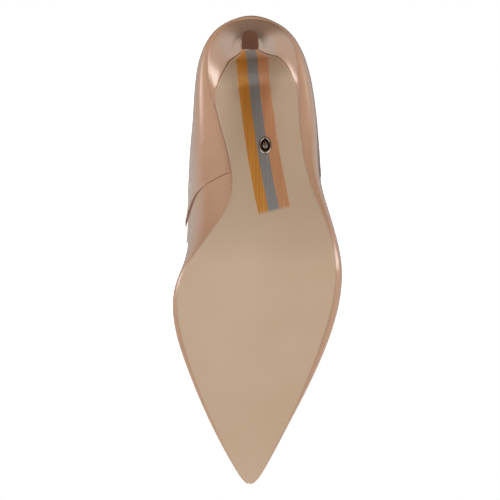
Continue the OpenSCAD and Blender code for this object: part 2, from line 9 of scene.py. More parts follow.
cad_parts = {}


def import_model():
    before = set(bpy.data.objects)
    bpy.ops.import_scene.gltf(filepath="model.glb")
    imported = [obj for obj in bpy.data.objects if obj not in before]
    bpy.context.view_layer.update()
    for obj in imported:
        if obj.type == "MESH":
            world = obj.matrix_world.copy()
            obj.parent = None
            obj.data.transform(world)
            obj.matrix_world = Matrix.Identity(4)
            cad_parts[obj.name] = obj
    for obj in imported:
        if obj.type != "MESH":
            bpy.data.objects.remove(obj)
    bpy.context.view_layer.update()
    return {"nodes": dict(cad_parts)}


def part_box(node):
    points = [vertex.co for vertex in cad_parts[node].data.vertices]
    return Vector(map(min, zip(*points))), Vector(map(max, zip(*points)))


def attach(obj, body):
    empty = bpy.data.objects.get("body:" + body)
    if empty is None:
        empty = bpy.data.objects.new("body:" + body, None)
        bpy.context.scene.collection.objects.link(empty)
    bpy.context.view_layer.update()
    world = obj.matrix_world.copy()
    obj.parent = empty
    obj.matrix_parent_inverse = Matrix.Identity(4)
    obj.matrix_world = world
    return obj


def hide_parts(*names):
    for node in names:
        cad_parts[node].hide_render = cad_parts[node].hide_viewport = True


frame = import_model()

# ---- Sizes, in millimetres --------------------------------------------------
# The shoe is drawn with x = 0 at the back of the heel, as a last maker does, and
# SHIFT takes it to the frame's origin: the top lift's corner is known in both.
SOLE_T = 2.4
FLAP_T = 1.2
FLAP_END = 47.5       # length along the sole where the thin flap ends
TAPER = 5.5           # length over which it reaches the sole's thickness
UPPER_T = 0.9
LINING_T = 0.7
COUNTER_T = 1.2
PUFF_T = 0.8
BOARD_T = 2.0
SOCK_T = 1.0
MARGIN_W = 11.0
BREAST_R = 9.0
BREAST_X = 27.2
TIP_BACK_X = 18.7
TIP_HALF_W = 3.9
LIFT_H = 5.4
GAP = 0.05
SHIFT = np.array(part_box("top_lift")[0]) * 1000 - np.array([TIP_BACK_X, -TIP_HALF_W, 0.0])


# ---- Uniform cubic B-splines --------------------------------------------------
def cubic(f):
    return np.array([(1 - f)**3, 3*f**3 - 6*f**2 + 4, -3*f**3 + 3*f**2 + 3*f + 1, f**3]) / 6


def with_ends(c):
    c = np.asarray(c, float)
    return np.concatenate([2*c[:1] - c[1:2], c, 2*c[-1:] - c[-2:-1]])


def open_at(c, t):
    """The open spline through control points c at places t, from 0 to len(c) - 1."""
    e = with_ends(c)
    t = np.clip(np.asarray(t, float), 0, len(c) - 1 - 1e-9)
    i = np.floor(t).astype(int)
    b = cubic(t - i)
    extra = (1,) * (e.ndim - 1)
    return sum(b[k].reshape(b[k].shape + extra) * e[i + k] for k in range(4))


def loop_at(c, t):
    """The closed spline through control points c at places t."""
    c = np.asarray(c, float)
    t = np.asarray(t, float)
    i = np.floor(t).astype(int)
    b = cubic(t - i)
    extra = (1,) * (c.ndim - 1)
    return sum(b[k].reshape(b[k].shape + extra) * c[(i - 1 + k) % len(c)] for k in range(4))


def unit(v):
    return v / np.maximum(np.linalg.norm(v, axis=-1, keepdims=True), 1e-9)


def smooth(x, low, high):
    """0 below low, 1 above high, and an even ease between them."""
    f = np.clip((np.asarray(x, float) - low) / (high - low), 0, 1)
    return f * f * (3 - 2*f)


def mix(a, b, f):
    return a * (1 - f) + b * f


# ---- Side profile of the sole --------------------------------------------------
PROFILE_X0 = -15.0
PROFILE_STEP = 15.0
PROFILE = [95.5, 88, 81, 73.5, 65, 54, 40, 24.5, 9.5, 0, 0, 0, 0, 0.3, 1.2, 2.8, 5, 8]


def sole_z(x):
    return open_at(PROFILE, (np.asarray(x, float) - PROFILE_X0) / PROFILE_STEP)


def slope(x):
    return sole_z(x + 0.5) - sole_z(x - 0.5)


def above_sole(plan, h):
    """Points h above the outsole's lower face at each x, y of plan, measured square to it."""
    x, y = plan[..., 0], plan[..., 1]
    g = slope(x)
    k = np.sqrt(1 + g*g)
    return np.stack([x - h*g/k, y, sole_z(x) + h/k], -1)


# ---- The last: stations round the shoe, back - inner side - toe - outer side ------
# feather x, y | widest point x, y, z | topline x, y, z | crown between the two
STATIONS = np.array([
    [2.5, 0,       -0.8, -0.5, 108,    2, 0, 141.5,        1.5],
    [5, 12.5,      4.3, 12.2, 107,     5.5, 11.5, 140,     1.5],
    [13, 20.5,     11, 21.1, 104,      15, 18.5, 134,      2],
    [29, 22.3,     26, 28.3, 95,       31, 23.5, 121,      2],
    [53, 16,       55, 29, 78,         59, 27.5, 95,       2],
    [80, 8.5,      84, 29.3, 58,       88, 29.5, 68.5,     2],
    [98, 9.5,      106, 28.2, 39,      112, 28, 51.5,      3],
    [112, 19,      122, 30, 20,        127, 26, 44.5,      6],
    [129, 33.3,    137, 36.7, 12,      138, 22, 41.5,      8],
    [152, 35,      154, 36.8, 11,      147, 16, 39.8,      8.5],
    [176, 27.6,    177, 28.8, 11,      152.5, 9.5, 38.6,   8],
    [200, 17.7,    201, 18.4, 10,      155, 4.5, 38.1,     6.5],
    [221, 6.5,     221, 7.3, 10,       156, 1.2, 37.8,     5],
    [231.4, 0.1,   231.9, 0.1, 10,     156.3, -1.6, 37.7,  4.5],
    [221, -6.2,    221, -7.4, 10,      156, -4.4, 37.8,    5],
    [200, -16.8,   201, -17.7, 10,     155, -8, 38,        6.5],
    [176, -28.9,   177, -30.7, 11,     152.5, -13, 38.4,   8],
    [150, -38.3,   151, -41.3, 12,     147, -19.5, 39.3,   8.5],
    [127, -41.1,   129, -44.7, 13,     138, -26, 40.8,     8],
    [104, -35.6,   106.2, -39.3, 22,   124, -31, 44.5,     5],
    [80, -25.8,    83, -32.3, 50,      102, -34, 55.5,     2.5],
    [54, -23.5,    56, -34.1, 75,      69, -31.5, 82,      2],
    [29, -23.8,    27, -30.7, 96,      33, -25, 118,       2],
    [13, -21,      11, -22.8, 104,     15, -19, 134,       2],
    [5, -12.5,     4.3, -13.5, 107,    5.5, -11.5, 140,    1.5],
])
LOOPS = len(STATIONS)
TOE_STATION = 13
LOW_RISE = 2.6

PLAN = STATIONS[:, 0:2]
FEATHER = above_sole(PLAN, SOLE_T)
WIDEST = STATIONS[:, 2:5]
TOPLINE = STATIONS[:, 5:8]


def last_net():
    """Control points of the last's face at each station, and the inner edge of the lasting margin."""
    along = np.roll(FEATHER, -1, 0) - np.roll(FEATHER, 1, 0)
    outward = unit(np.stack([-along[:, 1], along[:, 0], np.zeros(LOOPS)], -1))
    room = np.where(PLAN[:, 0] < 60, MARGIN_W, np.minimum(MARGIN_W, 3 + 0.55*np.abs(PLAN[:, 1])))
    margin_plan = PLAN - outward[:, :2] * room[:, None]
    low = mix(FEATHER, WIDEST, 0.8)
    low[:, 2] = FEATHER[:, 2] + np.minimum(LOW_RISE, 0.35*(WIDEST[:, 2] - FEATHER[:, 2]))
    rise = TOPLINE - WIDEST
    n = unit(np.cross(along, rise))
    facing = np.where((n * (outward + [0, 0, 0.6])).sum(1) < 0, -1.0, 1.0)
    crown = WIDEST + rise/2 + n * (facing * STATIONS[:, 8])[:, None]
    return np.stack([FEATHER, low, WIDEST, crown, TOPLINE], 1), margin_plan


NET, MARGIN_PLAN = last_net()
BED = 0.05


def last_surface(u, v):
    """The last's outer face. u has one value a column or a grid, v is a matching grid."""
    u, v = np.broadcast_arrays(np.asarray(u, float), np.asarray(v, float))
    c = loop_at(NET, u)
    margin = above_sole(loop_at(MARGIN_PLAN, u), SOLE_T + BED)
    edge = above_sole(loop_at(PLAN, u), SOLE_T + BED)
    rows = np.stack([margin, edge, c[..., 1, :] + edge - c[..., 0, :],
                     c[..., 2, :], c[..., 3, :], c[..., 4, :]], -2)
    rows = np.concatenate([2*rows[..., :1, :] - rows[..., 1:2, :], rows,
                           2*rows[..., -1:, :] - rows[..., -2:-1, :]], -2)
    t = np.clip(v, 0, 5 - 1e-9)
    i = np.floor(t).astype(int)
    b = cubic(t - i)
    out = 0
    for k in range(4):
        picked = np.take_along_axis(rows, (i + k)[..., None, None].repeat(3, -1), -2)[..., 0, :]
        out = out + b[k][..., None] * picked
    return out


def last_frame(u, v):
    """Points, outward normals and upward tangents of the last's face."""
    e = 0.004
    p = last_surface(u, v)
    du = last_surface(u + e, v) - last_surface(u - e, v)
    dv = last_surface(u, np.minimum(v + e, 5)) - last_surface(u, np.maximum(v - e, 0))
    return p, unit(np.cross(dv, du)), unit(dv)


# ---- Meshes ---------------------------------------------------------------------
def to_metres(p):
    return (np.asarray(p, float) + SHIFT) / 1000


def grid_mesh(name, grid, close_u=False, close_v=False, caps=(), lay=None, second=(), second_row=None):
    """A mesh of quads over grid[u][v]. caps lists the rows of u that end in one face.
    second lists the strips of v that take the piece's second material, second_row the row of u."""
    grid = np.asarray(grid, float)
    nu, nv = grid.shape[:2]
    ids = np.arange(nu * nv).reshape(nu, nv)
    i = ids if close_u else ids[:-1]
    right = np.roll(ids, -1, 0) if close_u else ids[1:]
    if close_v:
        quads = np.stack([i, right, np.roll(right, -1, 1), np.roll(i, -1, 1)], -1)
    else:
        quads = np.stack([i[:, :-1], right[:, :-1], right[:, 1:], i[:, 1:]], -1)
    faces = quads.reshape(-1, 4).tolist() + [ids[c].tolist() for c in caps]
    mesh = bpy.data.meshes.new(name)
    mesh.from_pydata(to_metres(grid.reshape(-1, 3)).tolist(), [], faces)
    strips = quads.shape[1]
    for face in mesh.polygons[:len(quads) * strips]:
        row, strip = divmod(face.index, strips)
        face.material_index = 1 if strip in second or row == second_row else 0
    if lay is not None:
        flat = np.asarray(lay, float).reshape(-1, 2)
        layer = mesh.uv_layers.new(name="lay")
        for loop in mesh.loops:
            layer.data[loop.index].uv = flat[loop.vertex_index]
    bm = bmesh.new()
    bm.from_mesh(mesh)
    bmesh.ops.remove_doubles(bm, verts=bm.verts, dist=2e-6)
    bmesh.ops.dissolve_degenerate(bm, edges=bm.edges, dist=1e-6)
    bmesh.ops.recalc_face_normals(bm, faces=bm.faces)
    bm.to_mesh(mesh)
    bm.free()
    mesh.polygons.foreach_set("use_smooth", [True] * len(mesh.polygons))
    mesh.update()
    piece = bpy.data.objects.new(name, mesh)
    bpy.context.scene.collection.objects.link(piece)
    return piece


def rounded_rim(a, b, out, steps=5):
    """Points from edge a to edge b, bulging along out in a half circle."""
    half = (a - b) / 2
    reach = np.linalg.norm(half, axis=-1, keepdims=True)
    turns = [math.pi * k / (steps + 1) for k in range(1, steps + 1)]
    return [(a + b)/2 + half*math.cos(t) + out*reach*math.sin(t) for t in turns]


def shell(name, outer, inner):
    """A closed sheet between two grids, with round rims at both ends of v."""
    top = rounded_rim(outer[:, -1], inner[:, -1], unit(outer[:, -1] - outer[:, -2]))
    low = rounded_rim(inner[:, 0], outer[:, 0], unit(outer[:, 0] - outer[:, 1]))
    ring = np.concatenate([outer, np.stack(top, 1), inner[:, ::-1], np.stack(low, 1)], 1)
    return grid_mesh(name, ring, close_v=True, caps=(0, len(ring) - 1))


def ride(piece, slot, materials, *nodes):
    """Put a piece on the shoe, in its materials, in place of the CAD nodes named. slot is not used."""
    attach(piece, "root")
    if nodes:
        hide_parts(*nodes)
    for material in materials if isinstance(materials, tuple) else (materials,):
        piece.data.materials.append(material)
    return piece


# ---- Material nodes ----------------------------------------------------------------
def srgb(r, g, b):
    def linear(c):
        c = c / 255
        return c / 12.92 if c <= 0.04045 else ((c + 0.055) / 1.055) ** 2.4
    return (linear(r), linear(g), linear(b), 1.0)


class Nodes:
    """Short calls that build one material's node tree."""

    def __init__(self, name, roughness=0.5, **shader):
        self.material = bpy.data.materials.new(name)
        self.material.use_nodes = True
        self.tree = self.material.node_tree
        self.shader = self.tree.nodes["Principled BSDF"]
        self.shader.inputs["Roughness"].default_value = roughness
        for key, value in shader.items():
            self.shader.inputs[key.replace("_", " ")].default_value = value

    def put(self, socket, value):
        if hasattr(value, "links"):
            self.tree.links.new(value, socket)
        else:
            socket.default_value = value

    def node(self, kind, out=0, settings=None, **inputs):
        n = self.tree.nodes.new(kind)
        for key, value in (settings or {}).items():
            setattr(n, key, value)
        for key, value in inputs.items():
            numbered = key.startswith("in") and key[2:].isdigit()
            self.put(n.inputs[int(key[2:]) if numbered else key.replace("_", " ")], value)
        return n.outputs[out]

    def math(self, operation, a, b=0.0, clamp=False):
        settings = {"operation": operation, "use_clamp": clamp}
        return self.node("ShaderNodeMath", settings=settings, in0=a, in1=b)

    def place(self, scale=(1, 1, 1), uv=None):
        """Object coordinates, or the uv map's, scaled."""
        if uv:
            source = self.node("ShaderNodeUVMap", settings={"uv_map": uv})
        else:
            source = self.node("ShaderNodeTexCoord", out=3)
        return self.node("ShaderNodeMapping", Vector=source, Scale=scale)

    def noise(self, vector, scale, detail=3.0, roughness=0.5):
        return self.node("ShaderNodeTexNoise", Vector=vector, Scale=scale, Detail=detail, Roughness=roughness)

    def ramp(self, value, low, high):
        """Value stretched so that low gives 0 and high gives 1."""
        return self.node("ShaderNodeMapRange", Value=value, From_Min=low, From_Max=high)

    def blend(self, factor, a, b):
        n = self.tree.nodes.new("ShaderNodeMix")
        n.data_type = "RGBA"
        self.put(n.inputs[0], factor)
        self.put(n.inputs[6], a)
        self.put(n.inputs[7], b)
        return n.outputs[2]

    def bump(self, height, strength, distance, under=None):
        inputs = {"Height": height, "Strength": strength, "Distance": distance}
        if under is not None:
            inputs["Normal"] = under
        return self.node("ShaderNodeBump", **inputs)

    def finish(self, color, normal=None, roughness=None, metallic=None):
        self.put(self.shader.inputs["Base Color"], color)
        if normal is not None:
            self.put(self.shader.inputs["Normal"], normal)
        if roughness is not None:
            self.put(self.shader.inputs["Roughness"], roughness)
        if metallic is not None:
            self.put(self.shader.inputs["Metallic"], metallic)
        return self.material


def patent_leather():
    m = Nodes("patent_leather", Coat_Weight=1.0, Coat_Roughness=0.035, Coat_IOR=1.5, Specular_IOR_Level=0.8)
    at = m.place()
    cloud = m.ramp(m.noise(at, 22.0, 2.0), 0.35, 0.65)
    color = m.blend(cloud, srgb(191, 149, 119), srgb(184, 141, 111))
    peel = m.noise(at, 420.0, 2.0, 0.4)
    soft = m.noise(at, 38.0, 1.0, 0.4)
    normal = m.bump(soft, 0.10, 0.0004)
    normal = m.bump(peel, 0.05, 0.0003, normal)
    rough = m.node("ShaderNodeMapRange", Value=cloud, To_Min=0.26, To_Max=0.34)
    return m.finish(color, normal, rough)


def plain_leather(name, light, dark, grain=900.0, roughness=0.5):
    """Smooth leather: clouded colour, pores and fine creases."""
    m = Nodes(name, Specular_IOR_Level=0.4)
    at = m.place()
    cloud = m.ramp(m.noise(at, 30.0, 4.0), 0.3, 0.7)
    color = m.blend(cloud, light, dark)
    pores = m.node("ShaderNodeTexVoronoi", Vector=at, Scale=grain)
    fine = m.noise(at, grain * 0.6, 4.0, 0.6)
    color = m.blend(m.math("MULTIPLY", m.ramp(fine, 0.55, 0.8), 0.18), color, dark)
    normal = m.bump(pores, 0.12, 0.0002)
    normal = m.bump(fine, 0.10, 0.0002, normal)
    rough = m.node("ShaderNodeMapRange", Value=fine, To_Min=roughness - 0.06, To_Max=roughness + 0.08)
    return m.finish(color, normal, rough)


# Brush strokes on the sole, in millimetres of the sole laid flat: x forward, y to the inner side.
LAY_SPAN = 300.0
STRIPE_W = 5.1
STRIPE_X = 31.0
STRIPE_Y = -1.3
STRIPE_END = 101.0


def outsole_leather():
    m = Nodes("outsole_leather", Specular_IOR_Level=0.45, Coat_Weight=0.15, Coat_Roughness=0.3)
    at = m.place()
    cloud = m.ramp(m.noise(at, 18.0, 3.0), 0.3, 0.7)
    tan = m.blend(cloud, srgb(182, 158, 133), srgb(176, 150, 124))
    fibre = m.noise(m.place((40, 260, 40)), 6.0, 4.0, 0.6)
    tan = m.blend(m.math("MULTIPLY", m.ramp(fibre, 0.5, 0.8), 0.16), tan, srgb(176, 146, 116))
    pores = m.noise(at, 2600.0, 3.0, 0.6)

    lay = m.node("ShaderNodeUVMap", settings={"uv_map": "lay"})
    xy = m.node("ShaderNodeSeparateXYZ", Vector=lay)
    x = m.math("MULTIPLY", xy, LAY_SPAN)
    y_out = xy.node.outputs[1]
    y = m.math("MULTIPLY", y_out, LAY_SPAN)
    ahead = m.math("MAXIMUM", m.math("SUBTRACT", x, STRIPE_X), 0.0)
    behind = m.math("MAXIMUM", m.math("SUBTRACT", STRIPE_X, x), 0.0)
    centre = m.math("ADD", m.math("MULTIPLY", ahead, -0.085), STRIPE_Y)
    centre = m.math("ADD", centre, m.math("MULTIPLY", m.math("MULTIPLY", ahead, ahead), -0.0008))
    centre = m.math("ADD", centre, m.math("MULTIPLY", behind, 0.019))
    # Place across the strokes: 0 in the middle one, counted in stroke widths.
    wobble = m.noise(m.place((30, 120, 1), uv="lay"), 1.0, 3.0)
    wobble = m.math("MULTIPLY", m.math("SUBTRACT", wobble, 0.5), 0.10)
    across = m.math("ADD", m.math("DIVIDE", m.math("SUBTRACT", y, centre), STRIPE_W), wobble)

    def inside(low, high):
        above = m.ramp(across, low - 0.015, low + 0.015)
        below = m.ramp(across, high + 0.015, high - 0.015)
        return m.math("MULTIPLY", above, below)

    gold = inside(0.5, 1.5)
    grey = inside(-0.5, 0.5)
    copper = inside(-1.53, -0.5)
    # Ragged ends: each bristle lifts off at its own place.
    bristle = m.noise(m.place((12, 700, 1), uv="lay"), 1.0, 4.0, 0.7)
    bristle = m.math("MULTIPLY", m.math("SUBTRACT", bristle, 0.5), 9.0)
    slant = m.math("MULTIPLY", across, 1.1)
    end = m.math("ADD", m.math("ADD", slant, bristle), STRIPE_END)
    painted = m.ramp(m.math("SUBTRACT", end, x), -0.25, 0.25)
    streak = m.noise(m.place((5, 420, 1), uv="lay"), 1.0, 4.0, 0.6)
    thin = m.ramp(streak, 0.25, 0.75)

    color = tan
    for mask, light, dark in ((gold, srgb(205, 143, 62), srgb(172, 108, 38)),
                              (grey, srgb(142, 139, 137), srgb(118, 115, 113)),
                              (copper, srgb(200, 146, 106), srgb(178, 122, 84))):
        paint = m.blend(thin, dark, light)
        color = m.blend(m.math("MULTIPLY", mask, painted), color, paint)
    strokes = m.math("MULTIPLY", m.math("ADD", m.math("ADD", gold, grey), copper), painted, clamp=True)
    rough = m.math("SUBTRACT", 0.46, m.math("MULTIPLY", strokes, 0.14))
    metallic = m.math("MULTIPLY", strokes, 0.25)
    normal = m.bump(pores, 0.10, 0.0002)
    normal = m.bump(m.math("MULTIPLY", streak, strokes), 0.25, 0.0002, normal)
    return m.finish(color, normal, rough, metallic)


def sole_edge():
    """The sole's trimmed edge: tan board in a darker brown, partly an edge dressing and partly painted shade
    for the groove where sole and upper meet.
    """
    m = Nodes("sole_edge", Specular_IOR_Level=0.4)
    layers = m.noise(m.place((60, 60, 1400)), 1.0, 3.0)
    # Painted shade: the darker brown stands in for the shade in the groove between sole and upper, as well as
    # an edge dressing.
    color = m.blend(m.ramp(layers, 0.35, 0.65), srgb(168, 134, 106), srgb(146, 113, 87))
    return m.finish(color, m.bump(layers, 0.12, 0.0001), 0.5)


def moulded(name, light, dark, grain=700.0, roughness=0.5, **shader):
    """Moulded or pressed stuff with a fine even grain."""
    m = Nodes(name, **shader)
    at = m.place()
    fine = m.noise(at, grain, 4.0, 0.6)
    color = m.blend(m.ramp(m.noise(at, 90.0, 3.0), 0.3, 0.7), light, dark)
    color = m.blend(m.math("MULTIPLY", m.ramp(fine, 0.5, 0.8), 0.35), color, dark)
    rough = m.node("ShaderNodeMapRange", Value=fine, To_Min=roughness - 0.06, To_Max=roughness + 0.1)
    return m.finish(color, m.bump(fine, 0.15, 0.0002), rough)


def metal(name, color, roughness=0.28, stretch=(1, 1, 1)):
    m = Nodes(name, Metallic=1.0)
    brushed = m.noise(m.place(stretch), 900.0, 3.0)
    shade = m.blend(brushed, color, tuple(c * 0.72 for c in color[:3]) + (1.0,))
    rough = m.node("ShaderNodeMapRange", Value=brushed, To_Min=roughness - 0.08, To_Max=roughness + 0.1)
    return m.finish(shade, m.bump(brushed, 0.06, 0.0001), rough)


def thread(name, light, dark):
    """Twisted thread: slanting ply lines."""
    m = Nodes(name, Sheen_Weight=0.3)
    wave = m.node("ShaderNodeTexWave", Vector=m.place(), Scale=900.0, Distortion=1.5)
    rough = m.node("ShaderNodeMapRange", Value=wave, To_Min=0.4, To_Max=0.6)
    return m.finish(m.blend(wave, light, dark), m.bump(wave, 0.3, 0.0001), rough)


PATENT = patent_leather()
CUT_EDGE = plain_leather("cut_edge", srgb(132, 96, 72), srgb(108, 76, 56))
OUTSOLE = outsole_leather()
SOLE_EDGE = sole_edge()
LINING = plain_leather("lining_leather", srgb(231, 216, 198), srgb(216, 198, 178), 1100.0, 0.45)
SOCK = plain_leather("sock_leather", srgb(222, 202, 180), srgb(205, 184, 160), 1000.0, 0.5)
LIFT = moulded("top_lift_rubber", srgb(98, 60, 38), srgb(76, 45, 28), 1500.0, 0.5, Specular_IOR_Level=0.25)
BADGE = metal("badge_metal", srgb(172, 160, 148), 0.22)
BADGE_DARK = metal("badge_recess", srgb(58, 46, 40), 0.4)
THREAD = thread("thread", srgb(196, 164, 148), srgb(164, 132, 117))
FOAM = moulded("foam", srgb(232, 222, 208), srgb(216, 204, 188), 500.0, 0.8)
FIBRE = moulded("fibre_sheet", srgb(150, 130, 110), srgb(122, 104, 86), 800.0, 0.75)
BOARD = moulded("insole_board", srgb(160, 132, 100), srgb(128, 104, 78), 900.0, 0.8)
CORK = moulded("cork", srgb(176, 140, 98), srgb(130, 98, 64), 350.0, 0.85)
PLASTIC = moulded("heel_plastic", srgb(232, 228, 220), srgb(216, 211, 202), 700.0, 0.45)
TAPE = thread("tape", srgb(238, 232, 220), srgb(214, 206, 192))
STEEL = metal("spring_steel", srgb(168, 172, 176), 0.32, (4, 40, 40))
FIXING = metal("plated_steel", srgb(196, 198, 200), 0.3)


# ---- Upper -----------------------------------------------------------------------
SEAM = [5.12, 5.32, 5.78, 6.02, 6.18]
SEAM_COLUMN = SEAM[0]
SEAM_SPREAD = 2.6     # stations on either side over which columns follow the seam's curve
LAP_H = 0.6           # rise of the lap at its cut edge
LAP_FADE = 0.4        # stations behind the edge over which the rise dies away


def seam_u(v):
    return open_at(SEAM, np.maximum(v, 1) - 1)


def to_loop(a, v):
    """Place round the last for column a. Columns near the seam follow its curve."""
    near = np.clip(np.abs((a - SEAM_COLUMN + LOOPS/2) % LOOPS - LOOPS/2) / SEAM_SPREAD, 0, 1)
    return a + (seam_u(v) - SEAM_COLUMN) * np.cos(near * math.pi / 2)**2


def upper_columns():
    """Places round the shoe for the upper's columns, close together at the seam."""
    fine = np.array([0.3, 0.2, 0.13, 0.08, 0.05, 0.03, 0.015, 0.006, 0.002])
    even = np.arange(0, LOOPS, 1/13)
    even = even[np.abs(even - SEAM_COLUMN) > 0.33]
    return np.sort(np.concatenate([even, SEAM_COLUMN - fine, SEAM_COLUMN + fine]))


def upper():
    """One closed band of patent leather, lapped at the inner side seam."""
    a = upper_columns()[:, None]
    rows = np.concatenate([np.linspace(0, 0.6, 6), np.linspace(0.68, 1.6, 20),
                           np.linspace(1.66, 4.8, 50), np.linspace(4.84, 5, 7)])[None, :]
    p, n, up = last_frame(to_loop(a, rows), rows)
    behind = np.maximum(SEAM_COLUMN - a, 0)
    lap = np.where((a < SEAM_COLUMN) & (behind < 3), LAP_H * np.exp(-(behind/LAP_FADE)**2), 0.0)
    outer = p + n * (lap * smooth(rows, 0.8, 1.1))[..., None]
    # The edge is folded over, so that patent leather shows just inside it. fold is the turn's radius.
    fold = 0.75
    top, n_top, up_top = outer[:, -1], n[:, -1], up[:, -1]
    turns = [math.pi * k / 8 for k in range(1, 8)]
    rim = [top - n_top*fold*(1 - math.cos(t)) + up_top*fold*math.sin(t) for t in turns]
    inner_rows = np.array([5, 4.96, 4.93])[None, :]
    q, nq, _ = last_frame(to_loop(a, inner_rows), inner_rows)
    folded = q - nq * 2*fold
    back_rows = np.concatenate([np.linspace(4.9, 1.6, 26), np.linspace(1.5, 0, 14)])[None, :]
    b, nb, _ = last_frame(to_loop(a, back_rows), back_rows)
    ring = np.concatenate([outer, np.stack(rim, 1), folded, b - nb*UPPER_T], 1)
    cut = int(np.searchsorted(a[:, 0], SEAM_COLUMN)) - 1
    piece = grid_mesh("upper_patent", ring, close_u=True, close_v=True, second_row=cut)
    return ride(piece, "patent_upper", (PATENT, CUT_EDGE), "upper")


def stiffening(u, v):
    """Thickness of the counter and the puff between upper and lining."""
    heel = np.abs((u + LOOPS/2) % LOOPS - LOOPS/2)
    toe = np.abs(u % LOOPS - TOE_STATION)
    low = smooth(v, 0.6, 1.1)
    counter = (COUNTER_T + 2*GAP) * (1 - smooth(heel, 4.3, 5.6)) * low * (1 - smooth(v, 3.4, 4.3))
    puff = (PUFF_T + 2*GAP) * (1 - smooth(toe, 2.6, 3.6)) * low * (1 - smooth(v, 3.0, 3.8))
    return np.maximum(counter, puff)


def lining(name, first, last):
    a = np.linspace(first, last, int((last - first) * 9))[:, None]
    rows = np.concatenate([np.linspace(0, 0.7, 5), np.linspace(0.8, 1.6, 12), np.linspace(1.7, 4.92, 36)])
    rows = rows[None, :]
    p, n, _ = last_frame(a, rows)
    depth = (UPPER_T + GAP + stiffening(a, rows))[..., None]
    crease = 0.12 * np.sin(a * 2.1) * smooth(rows, 1.2, 2) * (1 - smooth(rows, 4.2, 4.8))
    depth = depth + crease[..., None] * 0.5 + 0.06
    piece = shell(name + "_shell", p - n*depth, p - n*(depth + LINING_T))
    return ride(piece, "lining", LINING, name)


# ---- Stitching -----------------------------------------------------------------------
def stitches(name, paths, radius, node):
    """One short thread for each path of points, with round ends, all in one mesh."""
    sides = 8
    verts, faces = [], []
    for path in paths:
        path = np.asarray(path)
        along = unit(np.gradient(path, axis=0))
        across = unit(np.cross(along, [0.1, 0.2, 1.0]))
        up = np.cross(across, along)
        count = len(path)
        base = len(verts)
        for k in range(count):
            place = 2*k/(count - 1) - 1
            r = radius * math.sqrt(max(0.08, 1 - place**6))
            for s in range(sides):
                t = 2*math.pi*s/sides
                verts.append(path[k] + (across[k]*math.cos(t) + up[k]*math.sin(t)) * r)
        for k in range(count - 1):
            for s in range(sides):
                e = (s + 1) % sides
                faces.append([base + k*sides + s, base + k*sides + e,
                              base + (k + 1)*sides + e, base + (k + 1)*sides + s])
        faces.append([base + s for s in range(sides)][::-1])
        faces.append([base + (count - 1)*sides + s for s in range(sides)])
    mesh = bpy.data.meshes.new(name)
    mesh.from_pydata(to_metres(np.array(verts)).tolist(), [], faces)
    mesh.polygons.foreach_set("use_smooth", [True] * len(mesh.polygons))
    piece = bpy.data.objects.new(name, mesh)
    bpy.context.scene.collection.objects.link(piece)
    return ride(piece, "thread", THREAD, node)


def stitch_path(u, v, lift, radius):
    """A stitch along places u, v of the last: its middle stands proud, its ends dip in."""
    p, n, _ = last_frame(u, v)
    arch = np.sin(np.linspace(0, math.pi, len(u))) ** 0.5
    return p + n * (lift + radius * (0.75*arch - 0.8))[:, None]


TOPLINE_V = 4.80
TOPLINE_THREAD = 0.17
SEAM_THREAD = 0.15


def topline_stitching():
    count = 150
    pitch = LOOPS / count
    paths = []
    for k in range(count):
        f = np.linspace(0.12, 0.88, 7)
        a = (k + f) * pitch
        v = np.full(7, TOPLINE_V)
        paths.append(stitch_path(to_loop(a, v), v, 0.0, TOPLINE_THREAD))
    return stitches("topline_thread", paths, TOPLINE_THREAD, "topline_stitching")


def seam_stitching():
    count = 30
    low, high = 1.25, 4.7
    paths = []
    for k in range(count):
        f = (k + np.linspace(0.14, 0.86, 7)) / count
        v = low + (high - low)*f
        a = np.full(7, SEAM_COLUMN - 0.075)
        paths.append(stitch_path(to_loop(a, v), v, LAP_H * 0.97, SEAM_THREAD))
    return stitches("seam_thread", paths, SEAM_THREAD, "seam_stitching")


# ---- Outsole --------------------------------------------------------------------------
def turn_point():
    """Where the waist's slope meets the breast curve: its x, its slope angle, the curve's centre z."""
    angle = math.radians(30)
    for _ in range(30):
        x = BREAST_X + BREAST_R * (1 + math.sin(angle))
        angle = math.atan(-float(slope(np.array(x))))
    return x, angle, float(sole_z(x)) - BREAST_R * math.cos(angle)


TURN_X, TURN_A, TURN_Z = turn_point()
DROP_L = TURN_X - BREAST_R * (TURN_A + math.pi/2)
END_L = DROP_L - (TURN_Z - LIFT_H - 0.1)


def sole_line(length, h):
    """x and z of the sole's centre line at a length along it and a height h inside it."""
    length, h = np.broadcast_arrays(np.asarray(length, float), np.asarray(h, float))
    g = slope(np.maximum(length, TURN_X))
    k = np.sqrt(1 + g*g)
    straight = np.stack([length - h*g/k, sole_z(length) + h/k], -1)
    a = TURN_A - (TURN_X - length) / BREAST_R
    arc = np.stack([BREAST_X + BREAST_R + (BREAST_R + h)*np.sin(a), TURN_Z + (BREAST_R + h)*np.cos(a)], -1)
    drop = np.stack([BREAST_X - h, TURN_Z - (DROP_L - length)], -1)
    on_straight = (length >= TURN_X)[..., None]
    on_arc = (length > DROP_L)[..., None]
    return np.where(on_straight, straight, np.where(on_arc, arc, drop))


PATTERN = [
    [227.6, 0, 0], [226, 3.2, -3.2], [220, 7.2, -6.9], [205, 14.6, -14.6], [190, 21.2, -22],
    [175, 27, -28.2], [160, 31.8, -33.8], [146, 34.4, -38], [132, 32.8, -40.2], [119, 24.4, -38.8],
    [106, 14.6, -35.8], [94, 7.8, -30.2], [80, 8.6, -26.2], [65, 12.4, -24.5], [50, 16.6, -23.4],
    [40, 18, -23.4], [31, 12.6, -18.6], [21, 8, -10], [-2, 5.6, -5.8], [-16, TIP_HALF_W, -TIP_HALF_W],
    [END_L, TIP_HALF_W, -TIP_HALF_W]
]
PATTERN_END = len(PATTERN) - 1


def lean(length):
    """The flap leans a little, because the heel stands square to the foot's line."""
    return 0.08 * np.clip((75 - length) / 30, 0, 1)


